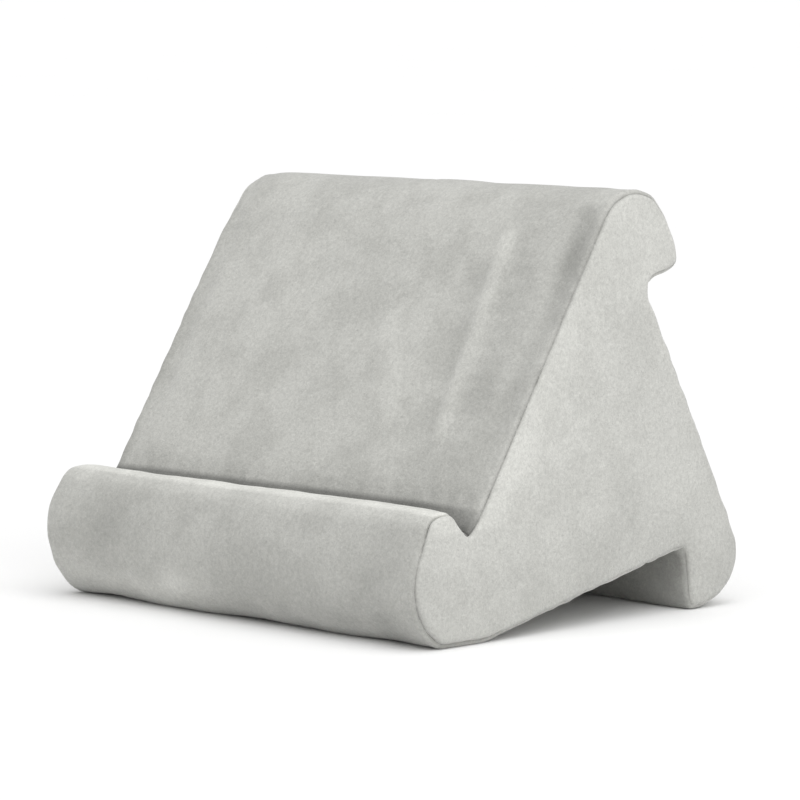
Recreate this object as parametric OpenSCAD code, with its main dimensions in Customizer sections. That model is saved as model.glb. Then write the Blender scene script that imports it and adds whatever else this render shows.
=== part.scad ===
// Soft three-sided stand for a tablet or a phone.
// A foam wedge carries a glued foam lip along each of its three edges, so each face ends in a ledge.
// A sewn plush cover goes over the foam and closes with a coil zip across the underside.
// X runs along the width, -Y is the front and +Z is up. The origin is the middle of the base.

/* [Overall] */
// Width of the stand, along X
stand_w = 290; // [230:1:380]
// Depth from the front lip to the rear foot, along Y
stand_d = 252; // [208:1:310]
// Height of the top lip above the surface it stands on
stand_h = 230; // [190:1:280]

/* [Corners] */
// Radius of the heel under the front lip
heel_r = 35.5; // [30:0.5:43]
// Radius of the ridge at the top of the backrest
ridge_r = 29; // [24:0.5:35]
// Radius of the corner behind the rear foot
foot_r = 25; // [20:0.5:30]
// How far the ridge's centre is behind the middle of the stand
ridge_y = 40; // [30:1:50]
// How far the foam settles at the heel under its own weight
heel_press = 3; // [1:0.5:4]
// Height of the rear corner's centre
foot_rise = 28.5; // [26:0.5:34]

/* [Front lip] */
// Radius of the front lip's rounded edge
front_lip_r = 10; // [8:0.5:12]
// Height of the front lip's edge above the heel's centre
front_lip_h = 28.5; // [24:0.5:34]
// How far the front lip's edge stands in front of the heel's centre
front_lip_lean = 16; // [13:0.5:19]
// Distance from the front lip's edge back to the middle of the groove that holds a tablet
front_groove_back = 19.5; // [17:0.5:23]
// Depth of that groove's middle below the centre of the lip's edge
front_groove_drop = 2.5; // [2:0.5:6]
// Radius in the bottom of that groove
front_groove_r = 3; // [2.5:0.1:3.6]

/* [Top lip] */
// Radius of the top lip's rounded edge
top_lip_r = 9.5; // [8:0.5:12]
// Length of the top lip behind the ridge's centre
top_lip_l = 26; // [22:0.5:31]
// How far the top lip's edge droops below the ridge's centre
top_lip_drop = 6.5; // [5:0.5:8]
// Distance from the top lip's edge forward to the middle of the groove under it
top_groove_in = 8.5; // [7:0.5:10]
// Thickness that the top lip keeps below its edge's centre, beside the groove
top_groove_drop = 12; // [10:0.5:14]
// Radius in the bottom of the groove under the top lip
top_groove_r = 6; // [5:0.1:7.2]

/* [Rear foot] */
// Radius of the rear foot's rounded edge
foot_lip_r = 9; // [7.5:0.5:11]
// How far the rear foot settles under its own weight
foot_press = 1; // [0.5:0.1:1.5]
// How far the foot's edge stands in front of the rear corner's centre
foot_lip_in = 8.5; // [7:0.5:10.5]
// Height of the groove beside the rear foot, above the centre of the foot's edge
rear_groove_h = 23.5; // [20:0.5:28]
// Distance from that groove's middle to the rear foot's inner face
rear_groove_in = 5.5; // [4.5:0.5:7]
// Radius in the bottom of that groove
rear_groove_r = 2.5; // [2:0.1:3]

/* [Cover] */
// Thickness of the plush fabric with its backing
cover_t = 2; // [1.5:0.1:2.4]

/* [Zip] */
// Distance from each end of the stand to the zip's teeth
zip_margin = 25; // [20:1:60]
// Distance of the zip from the rear groove, along the underside
zip_inset = 26; // [22:1:40]
// Width of each woven zip tape
tape_w = 12; // [10:0.5:15]
// Thickness of the zip tape
tape_t = 0.6; // [0.4:0.1:0.8]
// How far the tape runs on past each end of the teeth
tape_tail = 12; // [8:1:15]
// Length of each metal stop, along the zip
stop_l = 3; // [2.5:0.1:3.6]
// How far a stop stands out past the teeth
stop_proud = 0.9; // [0.8:0.1:1.1]
// Width of one row of teeth
coil_w = 2.5; // [2:0.1:3]
// Height of the teeth above the tape
coil_h = 2; // [1.6:0.1:2.2]
// Distance from one tooth to the next
coil_pitch = 2; // [1.6:0.1:3]
// Space between the two rows, for the slider's post
row_gap = 1.2; // [1:0.1:1.6]

/* [Slider and pull] */
// Length of the slider along the zip
slider_l = 11; // [9:0.5:14]
// Thickness of each of the slider's two plates
plate_t = 1; // [0.8:0.1:1.2]
// Thickness of the slider's side walls
slider_wall = 0.8; // [0.6:0.1:1]
// Thickness of the post that joins the slider's plates
post_t = 0.6; // [0.4:0.1:0.6]
// Radius of the pull tab's pivot bar
bar_r = 0.7; // [0.6:0.1:0.9]
// Width of the slider's eye, along the pivot
eye_w = 2.4; // [2:0.1:3]
// Length of the pull tab from its pivot to its end
tab_l = 19; // [15:0.5:20]
// Width of the pull tab
tab_w = 6.6; // [6:0.1:8]
// Thickness of the pull tab
tab_t = 1.1; // [0.9:0.1:1.3]

/* [Hidden] */
$fn = 64;

PLUSH = [0.72, 0.72, 0.70];
PLUSH_SIDE = [0.78, 0.78, 0.76];
FOAM = [0.93, 0.90, 0.80];
TAPE = [0.60, 0.60, 0.59];
TEETH = [0.68, 0.68, 0.67];
METAL = [0.62, 0.62, 0.64];

// Clearances
slide_gap = 0.3;   // between the slider and what it runs on
pivot_gap = 0.3;   // between the pull tab's bar and the eye
slot_gap = 0.5;    // between the slider and the fabric beside it
seat_gap = 0.1;    // between a zip piece and the foam under it
bar_inset = 0.2;   // from each end of the pull tab's bar to the tab's side

// Corner circles of the outline in the Y-Z plane, clockwise from the heel, as [y, z, radius].
// A negative radius is a groove: the outline bends inwards round it.
heel = [-stand_d / 2 + heel_r, heel_r - heel_press, heel_r];
front_lip = [heel[0] - front_lip_lean, heel[1] + front_lip_h, front_lip_r];
front_groove = [
    front_lip[0] + front_groove_back,
    front_lip[1] - front_groove_drop,
    -front_groove_r
];
ridge = [ridge_y, stand_h - ridge_r, ridge_r];
top_lip = [ridge[0] + top_lip_l, ridge[1] - top_lip_drop, top_lip_r];
top_groove = [
    top_lip[0] - top_groove_in,
    top_lip[1] - top_groove_drop - top_groove_r,
    -top_groove_r
];
foot = [stand_d / 2 - foot_r, foot_rise, foot_r];
foot_lip = [foot[0] - foot_lip_in, foot_lip_r - foot_press, foot_lip_r];
rear_groove = [
    foot_lip[0] - foot_lip_r - rear_groove_in,
    foot_lip[1] + rear_groove_h,
    -rear_groove_r
];
CORNERS = [
    heel, front_lip, front_groove, ridge, top_lip, top_groove, foot, foot_lip, rear_groove
];
FRONT_GROOVE = 2;
TOP_GROOVE = 5;
REAR_GROOVE = 8;
ARC_STEP = 6;                     // degrees between the points of a rounded corner
FAN_STEPS = 6;                    // straight steps in a fan polygon, which only has to cover its arc
REACH = 2 * (stand_d + stand_h);  // far enough to be outside the stand

function before(i) = (i + len(CORNERS) - 1) % len(CORNERS);
function after(i) = (i + 1) % len(CORNERS);
function centre(i) = [CORNERS[i][0], CORNERS[i][1]];
function unit(v) = v / norm(v);
function angle_of(v) = atan2(v[1], v[0]);
function heading(a) = [cos(a), sin(a)];

// Outward normal of the straight side that touches corner i and the corner after it
function side_normal(i) =
    let (
        span = centre(after(i)) - centre(i),
        along = unit(span),
        lean = (CORNERS[i][2] - CORNERS[after(i)][2]) / norm(span)
    )
    along * lean + [-along[1], along[0]] * sqrt(1 - lean * lean);

// Where corner i's arc begins and ends, at a depth below the cover's outer face
function arc_start(i, depth) = centre(i) + (CORNERS[i][2] - depth) * side_normal(before(i));
function arc_end(i, depth) = centre(i) + (CORNERS[i][2] - depth) * side_normal(i);

// Corner i's arc: clockwise round a corner, and anticlockwise round a groove
function arc_points(i, depth) =
    let (
        r = CORNERS[i][2] - depth,
        from = angle_of(side_normal(before(i))),
        sweep = r > 0
            ? -turn(side_normal(before(i)), side_normal(i))
            : turn(side_normal(i), side_normal(before(i))),
        steps = ceil(abs(sweep) / ARC_STEP)
    )
    [for (k = [0 : steps]) centre(i) + r * heading(from + sweep * k / steps)];

// The way out of a groove, midway between its two walls
function way_out(i) = unit(side_normal(before(i)) + side_normal(i));

// Clockwise turn from one direction to another, in degrees
function turn(from, to) = (angle_of(from) - angle_of(to) + 360) % 360;

// The zip's place: a point on the underside's outer face and the underside's slope
zip_at = arc_end(REAR_GROOVE, 0) - zip_inset * unit(arc_end(REAR_GROOVE, 0) - arc_start(0, 0));
base_normal = side_normal(REAR_GROOVE);
base_slope = angle_of(base_normal) + 90;

// Seams between the panels, as [point, way out of it]
hub = [0, stand_h / 3];
function groove_seam(i) = [centre(i), way_out(i)];
ZIP_SEAM = [zip_at - 2 * cover_t * base_normal, base_normal];

zip_len = stand_w - 2 * zip_margin;

// The zip's layers, counted inwards from the cover's outer face
tape_z = cover_t;
teeth_z = tape_z - coil_h;
row_y = row_gap / 2;
slider_w = 2 * (row_y + coil_w + slide_gap + slider_wall);
outer_plate_z = teeth_z - slide_gap - plate_t;
inner_plate_z = tape_z + tape_t + slide_gap;
slot_l = zip_len + 2 * (stop_l + slot_gap);
slot_w = slider_w + 2 * slot_gap;
slider_x = -(zip_len / 2 - slider_l / 2 - slide_gap);   // closed, against the top stops at the left
eye_r = bar_r + pivot_gap;
pivot_z = outer_plate_z - eye_r;

// Puts a Y-Z outline along X, centred
module along_width(l) {
    rotate([90, 0, 90]) linear_extrude(l, center = true) children();
}

// The stand's side outline, at a depth below the cover's outer face, cut flat where it rests
module outline(depth) {
    intersection() {
        polygon([for (i = [0 : len(CORNERS) - 1]) each arc_points(i, depth)]);
        translate([-stand_d, depth]) square([2 * stand_d, 2 * stand_h]);
    }
}

// Everything clockwise from seam a to seam b, each given as [point, way out of it]
module between_seams(a, b) {
    sweep = turn(a[1], b[1]);
    fan = [
        for (k = [1 : FAN_STEPS - 1])
            hub + REACH * heading(angle_of(a[1]) - sweep * k / FAN_STEPS)
    ];
    polygon(concat([hub, a[0], a[0] + REACH * a[1]], fan, [b[0] + REACH * b[1], b[0]]));
}

// The underside from the rear groove to the zip, just past the cover's outer face
module beside_zip() {
    polygon([
        hub,
        centre(REAR_GROOVE),
        zip_at + rear_groove_r * base_normal,
        ZIP_SEAM[0]
    ]);
}

// A strip of cover fabric round the outside, as wide as its child is round the outline
module band() {
    along_width(stand_w - 2 * cover_t)
        intersection() {
            difference() {
                outline(0);
                outline(cover_t);
            }
            children();
        }
}

// What stands out past the straight side after groove i: the lip or foot before that groove
module lip_zone(i) {
    start = arc_end(i, cover_t);
    out = side_normal(i);
    back = [-out[1], out[0]];
    polygon([start, start + REACH * out, start + REACH * (out + back), start + REACH * back]);
}

// A foam lip, glued to the wedge in line with one side
module foam_lip(i) {
    along_width(stand_w - 2 * cover_t)
        intersection() {
            outline(cover_t);
            lip_zone(i);
        }
}

// Turns the zip's own frame onto the underside: x along the zip, y up the slope, z inwards
module on_base() {
    translate([0, zip_at[0], zip_at[1]]) rotate([base_slope, 0, 0]) children();
}

// A block centred on the zip's x and y, from z0 to z1
module layer(l, w, z0, z1) {
    translate([-l / 2, -w / 2, z0]) cube([l, w, z1 - z0]);
}

module rounded_plate(l, w, r) {
    square([l - 2 * r, w], center = true);
    square([l, w - 2 * r], center = true);
    for (sx = [-1, 1])
        for (sy = [-1, 1])
            translate([sx * (l / 2 - r), sy * (w / 2 - r)]) circle(r);
}

module foam_wedge() {
    color(FOAM) difference() {
        along_width(stand_w - 2 * cover_t)
            difference() {
                outline(cover_t);
                for (i = [FRONT_GROOVE, TOP_GROOVE, REAR_GROOVE])
                    lip_zone(i);
            }
        on_base() {
            layer(
                zip_len + 2 * (tape_tail + seat_gap),
                2 * (row_y + tape_w + seat_gap),
                0,
                tape_z + tape_t + seat_gap
            );
            layer(slot_l, slot_w, 0, inner_plate_z + plate_t + slide_gap);
        }
    }
}

module foam_front_lip() {
    color(FOAM) foam_lip(FRONT_GROOVE);
}

module foam_top_lip() {
    color(FOAM) foam_lip(TOP_GROOVE);
}

module foam_rear_foot() {
    color(FOAM) foam_lip(REAR_GROOVE);
}

module side_panel(side) {
    color(PLUSH_SIDE)
        translate([side * (stand_w - cover_t) / 2, 0, 0])
            along_width(cover_t) outline(0);
}

module side_panel_left() {
    side_panel(-1);
}

module side_panel_right() {
    side_panel(1);
}

module backrest_panel() {
    color(PLUSH) band() between_seams(groove_seam(FRONT_GROOVE), groove_seam(TOP_GROOVE));
}

module back_panel() {
    color(PLUSH) band() between_seams(groove_seam(TOP_GROOVE), groove_seam(REAR_GROOVE));
}

// The zip opening, cut through the two panels that it joins
module zip_slot() {
    on_base() layer(slot_l, slot_w, -cover_t, 2 * cover_t);
}

module base_panel() {
    color(PLUSH) difference() {
        band() beside_zip();
        zip_slot();
    }
}

module front_lip_panel() {
    color(PLUSH) difference() {
        band() between_seams(ZIP_SEAM, groove_seam(FRONT_GROOVE));
        zip_slot();
    }
}

module zip_tape(side) {
    color(TAPE) on_base()
        translate([0, side * (row_y + tape_w / 2), 0])
            layer(zip_len + 2 * tape_tail, tape_w, tape_z, tape_z + tape_t);
}

// One row: a spine on the tape, with a tooth every pitch that points at the other row
module zip_teeth(side) {
    count = floor(zip_len / coil_pitch);
    tooth_w = coil_pitch / 2;
    spine_w = coil_w * 0.4;
    comb = [
        for (k = [0 : count - 1]) each [
            [-zip_len / 2 + k * coil_pitch, row_y + coil_w - spine_w],
            [-zip_len / 2 + k * coil_pitch, row_y],
            [-zip_len / 2 + k * coil_pitch + tooth_w, row_y],
            [-zip_len / 2 + k * coil_pitch + tooth_w, row_y + coil_w - spine_w]
        ]
    ];
    back = [[zip_len / 2, row_y + coil_w - spine_w], [zip_len / 2, row_y + coil_w],
        [-zip_len / 2, row_y + coil_w]];
    color(TEETH) on_base()
        mirror([0, side < 0 ? 1 : 0, 0])
            translate([0, 0, teeth_z])
                linear_extrude(coil_h) polygon(concat(comb, back));
}

module zip_tape_front() {
    zip_tape(-1);
}

module zip_tape_rear() {
    zip_tape(1);
}

module zip_teeth_front() {
    zip_teeth(-1);
}

module zip_teeth_rear() {
    zip_teeth(1);
}

module zip_top_stops() {
    color(METAL) on_base()
        for (side = [-1, 1])
            translate([-(zip_len + stop_l) / 2, side * (row_y + coil_w / 2), 0])
                layer(stop_l, coil_w, teeth_z - stop_proud, tape_z);
}

module zip_bottom_stop() {
    color(METAL) on_base()
        translate([(zip_len + stop_l) / 2, 0, 0])
            layer(stop_l, 2 * (row_y + coil_w), teeth_z - stop_proud, tape_z);
}

module zip_slider() {
    corner_r = 1.6;
    post_l = 3;
    eye_l = 2 * (eye_r + plate_t);
    color(METAL) on_base() translate([slider_x, 0, 0]) {
        // outer plate, with walls that come down beside the teeth as far as the tape
        difference() {
            translate([0, 0, outer_plate_z])
                linear_extrude(tape_z - slide_gap - outer_plate_z)
                    rounded_plate(slider_l, slider_w, corner_r);
            layer(2 * slider_l, slider_w - 2 * slider_wall, teeth_z - slide_gap, tape_z);
        }
        // inner plate, under the tape
        translate([0, 0, inner_plate_z])
            linear_extrude(plate_t) rounded_plate(slider_l, slider_w, corner_r);
        // post between the rows
        translate([-(slider_l / 2 - corner_r - post_l / 2), 0, 0])
            layer(post_l, post_t, outer_plate_z + plate_t / 2, inner_plate_z + plate_t / 2);
        // eye for the pull tab
        difference() {
            union() {
                translate([0, 0, pivot_z]) rotate([90, 0, 0])
                    cylinder(r = eye_l / 2, h = eye_w, center = true);
                layer(eye_l, eye_w, pivot_z, outer_plate_z + plate_t / 2);
            }
            translate([0, 0, pivot_z]) rotate([90, 0, 0])
                cylinder(r = eye_r, h = 2 * eye_w, center = true);
        }
    }
}

module zip_pull_tab() {
    window_w = eye_w + 2 * pivot_gap;
    window_l = eye_r + plate_t + 2 * pivot_gap;
    grip_r = tab_w / 2;
    hole_r = 1.3;
    color(METAL) on_base() translate([slider_x, 0, pivot_z]) {
        // pivot bar through the eye
        rotate([90, 0, 0]) cylinder(r = bar_r, h = tab_w - 2 * bar_inset, center = true);
        // flat tab, hanging straight out from the underside
        rotate([0, -90, 0]) linear_extrude(tab_t, center = true)
            difference() {
                union() {
                    translate([-tab_l + grip_r, -grip_r]) square([tab_l - grip_r, tab_w]);
                    translate([-tab_l + grip_r, 0]) circle(grip_r);
                }
                translate([-window_l, -window_w / 2]) square([2 * window_l, window_w]);
                translate([-tab_l + grip_r, 0]) circle(hole_r);
            }
    }
}

foam_wedge();
foam_front_lip();
foam_top_lip();
foam_rear_foot();
side_panel_left();
side_panel_right();
backrest_panel();
back_panel();
base_panel();
front_lip_panel();
zip_tape_front();
zip_tape_rear();
zip_teeth_front();
zip_teeth_rear();
zip_top_stops();
zip_bottom_stop();
zip_slider();
zip_pull_tab();
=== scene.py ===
import math

import bmesh
import bpy
import numpy as np
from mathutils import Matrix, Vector
from mathutils.geometry import delaunay_2d_cdt


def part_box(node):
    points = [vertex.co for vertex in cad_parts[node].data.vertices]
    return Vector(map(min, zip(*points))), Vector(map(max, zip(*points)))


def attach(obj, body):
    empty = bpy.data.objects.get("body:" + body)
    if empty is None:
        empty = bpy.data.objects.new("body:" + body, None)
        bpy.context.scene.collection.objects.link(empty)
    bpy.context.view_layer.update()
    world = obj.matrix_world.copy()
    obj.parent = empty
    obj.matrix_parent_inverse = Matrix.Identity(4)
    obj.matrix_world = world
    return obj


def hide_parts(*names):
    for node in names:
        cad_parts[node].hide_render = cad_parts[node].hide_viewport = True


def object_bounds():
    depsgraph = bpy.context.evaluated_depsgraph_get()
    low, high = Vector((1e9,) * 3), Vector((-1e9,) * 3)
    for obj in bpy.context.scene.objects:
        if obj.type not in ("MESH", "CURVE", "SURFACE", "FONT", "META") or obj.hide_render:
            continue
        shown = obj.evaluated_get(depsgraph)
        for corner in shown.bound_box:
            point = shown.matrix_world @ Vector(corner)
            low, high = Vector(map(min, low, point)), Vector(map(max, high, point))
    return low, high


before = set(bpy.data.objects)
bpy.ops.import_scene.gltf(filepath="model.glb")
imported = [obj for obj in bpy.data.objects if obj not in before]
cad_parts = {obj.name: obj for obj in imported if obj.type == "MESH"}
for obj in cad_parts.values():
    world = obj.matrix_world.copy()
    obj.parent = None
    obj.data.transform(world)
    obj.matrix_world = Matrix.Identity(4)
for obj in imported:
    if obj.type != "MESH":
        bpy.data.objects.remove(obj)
cad_box = [list(corner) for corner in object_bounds()]


# ---- The side outline ----------------------------------------------------------------
# The stand has one side outline: three faces, and past each of them a rounded lip.
# It is read off the rim of the flat side panel, and softened, because fabric drawn over
# foam holds no sharp corner.

MM = 0.001
half_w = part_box("side_panel_right")[1].x / MM
outline_step = 0.5
corner_softness = 1.6
bend_softness = 1.0
hollow_bend = -0.05


def rim_of(node, x):
    """The rim of the flat face that a node has at x: Y-Z points in mm, anticlockwise seen from +X."""
    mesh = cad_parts[node].data
    corner = [tuple(round(value / MM, 3) for value in vertex.co) for vertex in mesh.vertices]
    sides = set()
    for face in mesh.polygons:
        ring = [corner[i] for i in face.vertices]
        if all(abs(point[0] - x) < 0.01 for point in ring):
            sides.update(zip(ring, ring[1:] + ring[:1]))
    following = {a[1:]: b[1:] for a, b in sides if (b, a) not in sides}
    rim = [min(following)]
    while following[rim[-1]] != rim[0]:
        rim.append(following[rim[-1]])
    return np.array(rim)


def evened(rim, step):
    """The same closed line with its points a step apart."""
    closed = np.vstack([rim, rim[:1]])
    run = np.concatenate([[0], np.cumsum(np.linalg.norm(np.diff(closed, axis=0), axis=1))])
    at = np.linspace(0, run[-1], round(run[-1] / step), endpoint=False)
    return np.column_stack([np.interp(at, run, closed[:, k]) for k in (0, 1)])


def softened(values, width):
    """Values along the closed outline, averaged under a bell curve of that width in mm."""
    reach = round(4 * width / outline_step)
    bell = np.exp(-0.5 * (np.arange(-reach, reach + 1) * outline_step / width) ** 2)
    wrapped = np.concatenate([values[-reach:], values, values[:reach]])
    return np.convolve(wrapped, bell / bell.sum(), mode="valid")


def unit(vectors):
    """The same directions, each of length 1."""
    return vectors / np.linalg.norm(vectors, axis=-1, keepdims=True)


def rounded(line):
    """A closed line with its sharp corners softened."""
    return np.column_stack([softened(line[:, k], corner_softness) for k in (0, 1)])


def directions(line):
    """Along the outline: unit vectors out of it, and its bend per mm, below 0 in a hollow."""
    along = unit(np.roll(line, -1, axis=0) - np.roll(line, 1, axis=0))
    outward = np.column_stack([along[:, 1], -along[:, 0]])
    bend = np.sum((np.roll(along, -1, axis=0) - np.roll(along, 1, axis=0)) * -outward, axis=1)
    return outward, softened(bend / (2 * outline_step), bend_softness)


def grooves_of(line):
    """The numbers of the points at the bottom of the front, top and rear groove."""
    hollow = directions(line)[1] < hollow_bend
    starts = np.flatnonzero(hollow & ~np.roll(hollow, 1))
    ends = np.flatnonzero(hollow & ~np.roll(hollow, -1))
    middles = [start + (ends[ends >= start].min() - start) // 2 for start in starts]
    return sorted(middles, key=lambda i: line[i, 0])


outline = rounded(evened(rim_of("side_panel_right", half_w), outline_step))
# The cover bridges the bottom of the front groove, and the lip leans back over it. Each bulge
# is given by its distance up the lip from the groove, its reach and its height.
lip_bulges = [(2.0, 9.0, 3.5), (15.0, 7.0, 4.0)]
up_lip = (np.arange(len(outline)) - grooves_of(outline)[0]) * outline_step
bulge = sum(height * np.exp(-((up_lip - at) / reach) ** 2) for at, reach, height in lip_bulges)
outline = evened(rounded(outline + bulge[:, None] * directions(outline)[0]), outline_step)
outward, bend = directions(outline)
front_groove, top_groove, rear_groove = grooves_of(outline)


# ---- The zip's place -----------------------------------------------------------------
# The zip lies in a slot across the sloping underside. Its own frame has x along the zip,
# y up the slope and z into the stand, from the cover's outer face.

def middle_of(node):
    """The middle of a node's box, in mm."""
    low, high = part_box(node)
    return np.array((low + high) / 2) / MM


row_gap_middle = (middle_of("zip_teeth_front") + middle_of("zip_teeth_rear")) / 2
up_slope = unit(middle_of("zip_teeth_rear") - middle_of("zip_teeth_front"))
inwards = np.cross([1, 0, 0], up_slope)
zip_line = int(np.argmin(np.linalg.norm(outline - row_gap_middle[1:], axis=1)))
face_depth = (row_gap_middle[1:] - outline[zip_line]) @ inwards[1:]
zip_origin = row_gap_middle - face_depth * inwards
zip_axes = np.array([[1, 0, 0], up_slope, inwards])


def in_zip_frame(points):
    """Points of the stand, told in the zip's frame."""
    return (points - zip_origin) @ zip_axes.T


def from_zip_frame(points):
    """Points told in the zip's frame, back in the stand's."""
    return np.asarray(points) @ zip_axes + zip_origin


def reach_of(node):
    """A node's lowest and highest corner in the zip's frame, in mm."""
    points = np.array([vertex.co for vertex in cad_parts[node].data.vertices]) / MM
    placed = in_zip_frame(points)
    return placed.min(axis=0), placed.max(axis=0)


# The cover's slot leaves this much room round the zip's moving parts
slot_gap = 0.9
slot_half_l = reach_of("zip_bottom_stop")[1][0] + slot_gap
slot_half_w = reach_of("zip_slider")[1][1] + slot_gap


# ---- Foam ----------------------------------------------------------------------------
# Four pieces of soft polyurethane foam: a wedge, and three lips glued along its edges.
# They are sawn from a block, so their faces are flat, with open cells, and the edges give.

foam_voxel = 4.0
foam_relax_rounds = 4
foam_clearance = 3.2
foam_edge_r = 14.0
zip_room_depth = 5.0
zip_room_half_w = 15.0
zip_room_past_end = 20.0
outline_batch = 2000


def to_outline(points):
    """For Y-Z points: the nearest point of the outline, and the depth below it in mm."""
    nearest = np.empty(len(points), int)
    depth = np.empty(len(points))
    for i in range(0, len(points), outline_batch):
        batch = slice(i, i + outline_batch)
        gap = points[batch, None, :] - outline[None, :, :]
        square = np.einsum("ijk,ijk->ij", gap, gap)
        nearest[batch] = square.argmin(axis=1)
        depth[batch] = np.sqrt(square.min(axis=1))
    inside = np.sum((points - outline[nearest]) * outward[nearest], axis=1) < 0
    return nearest, np.where(inside, depth, -depth)


def linear(hex_colour):
    """An sRGB colour, such as #c8c8c4, as linear RGBA."""
    parts = [int(hex_colour[i:i + 2], 16) / 255 for i in (1, 3, 5)]
    return [c / 12.92 if c <= 0.04045 else ((c + 0.055) / 1.055) ** 2.4 for c in parts] + [1.0]


def add(tree, kind, inputs, **settings):
    """Adds a node. Each of its inputs takes a value, or another node's output to be linked."""
    made = tree.nodes.new(kind)
    for name, value in settings.items():
        setattr(made, name, value)
    for socket, value in inputs.items():
        if isinstance(value, bpy.types.NodeSocket):
            tree.links.new(value, made.inputs[socket])
        else:
            made.inputs[socket].default_value = value
    return made


def new_material(name):
    """A new material, its node tree, and the output that tells where on the stand a point is."""
    material = bpy.data.materials.new(name)
    material.use_nodes = True
    material.node_tree.nodes.clear()
    place = add(material.node_tree, "ShaderNodeTexCoord", {})
    return material, material.node_tree, place.outputs["Object"]


def per_metre(size_mm):
    """The scale at which a texture's features are about this size."""
    return 1 / (size_mm * MM)


def noise(tree, place, size_mm, **inputs):
    """Uneven spots of about this size, from 0 to 1."""
    inputs.update(Vector=place, Scale=per_metre(size_mm))
    return add(tree, "ShaderNodeTexNoise", inputs).outputs["Fac"]


def blend(tree, share, first, second):
    """A colour between two others, at this share of the way."""
    return add(tree, "ShaderNodeMix", {0: share, 6: first, 7: second}, data_type="RGBA").outputs[2]


def times(tree, first, second):
    """The product of two values."""
    factors = {0: first, 1: second}
    return add(tree, "ShaderNodeMath", factors, operation="MULTIPLY").outputs["Value"]


def ranged(tree, value, start, end, **settings):
    """A value moved from the range start to the range end, and kept inside it."""
    ends = {"From Min": start[0], "From Max": start[1], "To Min": end[0], "To Max": end[1]}
    return add(tree, "ShaderNodeMapRange", {"Value": value, **ends}, **settings).outputs["Result"]


def bumps(tree, height, depth_mm, strength, **inputs):
    """The normals of a surface with bumps of this depth."""
    inputs.update(Height=height, Distance=depth_mm * MM, Strength=strength)
    return add(tree, "ShaderNodeBump", inputs).outputs["Normal"]


def coat(tree, inputs):
    """Gives a material its surface."""
    surface = add(tree, "ShaderNodeBsdfPrincipled", inputs)
    add(tree, "ShaderNodeOutputMaterial", {"Surface": surface.outputs["BSDF"]})


def place_mesh(name, points, faces, material):
    """A new object from points in mm."""
    mesh = bpy.data.meshes.new(name)
    mesh.from_pydata((np.asarray(points) * MM).tolist(), [], faces)
    mesh.validate()
    mesh.shade_smooth()
    mesh.materials.append(material)
    piece = bpy.data.objects.new(name, mesh)
    bpy.context.scene.collection.objects.link(piece)
    return piece


def solid_of(node, name, material):
    """A copy of a node's solid under a new name, to add detail to."""
    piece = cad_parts[node].copy()
    piece.data = piece.data.copy()
    piece.name = name
    for key in list(piece.keys()):
        del piece[key]
    piece.parent = None
    bpy.context.scene.collection.objects.link(piece)
    piece.data.materials.clear()
    piece.data.materials.append(material)
    return piece


def settle(piece):
    """Makes the shape that a piece's modifiers give it its own, and returns its mesh."""
    depsgraph = bpy.context.evaluated_depsgraph_get()
    settled = bpy.data.meshes.new_from_object(piece.evaluated_get(depsgraph))
    piece.modifiers.clear()
    piece.data = settled
    settled.shade_smooth()
    return settled


def foam_material():
    """Open-cell polyurethane foam, sawn: cream, dull, and pitted by cells about a millimetre wide."""
    material, tree, place = new_material("polyurethane_foam")
    cell = {"Vector": place, "Scale": per_metre(1.2)}
    cells = add(tree, "ShaderNodeTexVoronoi", cell).outputs["Distance"]
    ageing = noise(tree, place, 60, Detail=3.0)
    tone = blend(tree, ageing, linear("#f0e6c8"), linear("#e2d2a4"))
    coat(tree, {
        "Base Color": blend(tree, cells, linear("#b8a87c"), tone),
        "Normal": bumps(tree, cells, 0.5, 0.8),
        "Roughness": 0.95,
    })
    return material


def foam_piece(name, node, material):
    """A node's solid with its edges softened, kept clear of the cover and of the zip."""
    piece = solid_of(node, name, material)
    remesh = piece.modifiers.new("remesh", "REMESH")
    remesh.voxel_size = foam_voxel * MM
    relax = piece.modifiers.new("relax", "SMOOTH")
    relax.iterations = foam_relax_rounds
    shaped = settle(piece)
    points = np.array([vertex.co for vertex in shaped.vertices]) / MM
    nearest, depth = to_outline(points[:, 1:])
    side = np.sign(points[:, 0])
    # Nearness to the rounded edge between a face and a side panel
    into_face = np.maximum(foam_edge_r - depth, 0)
    into_side = np.maximum(foam_edge_r - (half_w - np.abs(points[:, 0])), 0)
    proud = np.hypot(into_face, into_side) - (foam_edge_r - foam_clearance)
    push = np.maximum(proud, 0) / np.maximum(np.hypot(into_face, into_side), 1e-6)
    points[:, 1:] -= (push * into_face)[:, None] * outward[nearest]
    points[:, 0] -= push * into_side * side
    placed = in_zip_frame(points)
    over_zip = np.abs(placed[:, 0]) < slot_half_l + zip_room_past_end
    over_zip &= np.abs(placed[:, 1]) < zip_room_half_w
    placed[over_zip, 2] = np.maximum(placed[over_zip, 2], zip_room_depth)
    points = from_zip_frame(placed)
    shaped.vertices.foreach_set("co", (points * MM).ravel())
    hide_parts(node)
    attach(piece, "stand")


foam = foam_material()
foam_piece("wedge_foam", "foam_wedge", foam)
foam_piece("front_lip_foam", "foam_front_lip", foam)
foam_piece("top_lip_foam", "foam_top_lip", foam)
foam_piece("rear_foot_foam", "foam_rear_foot", foam)


# ---- Plush cover ---------------------------------------------------------------------
# Six panels of short-pile plush, sewn inside out and turned: a panel at each side, and a
# band round the outside in four panels that meet in the three grooves and at the zip.
# The whole skin is laid out first, with its rows and columns along the seams, and then cut.

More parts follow.
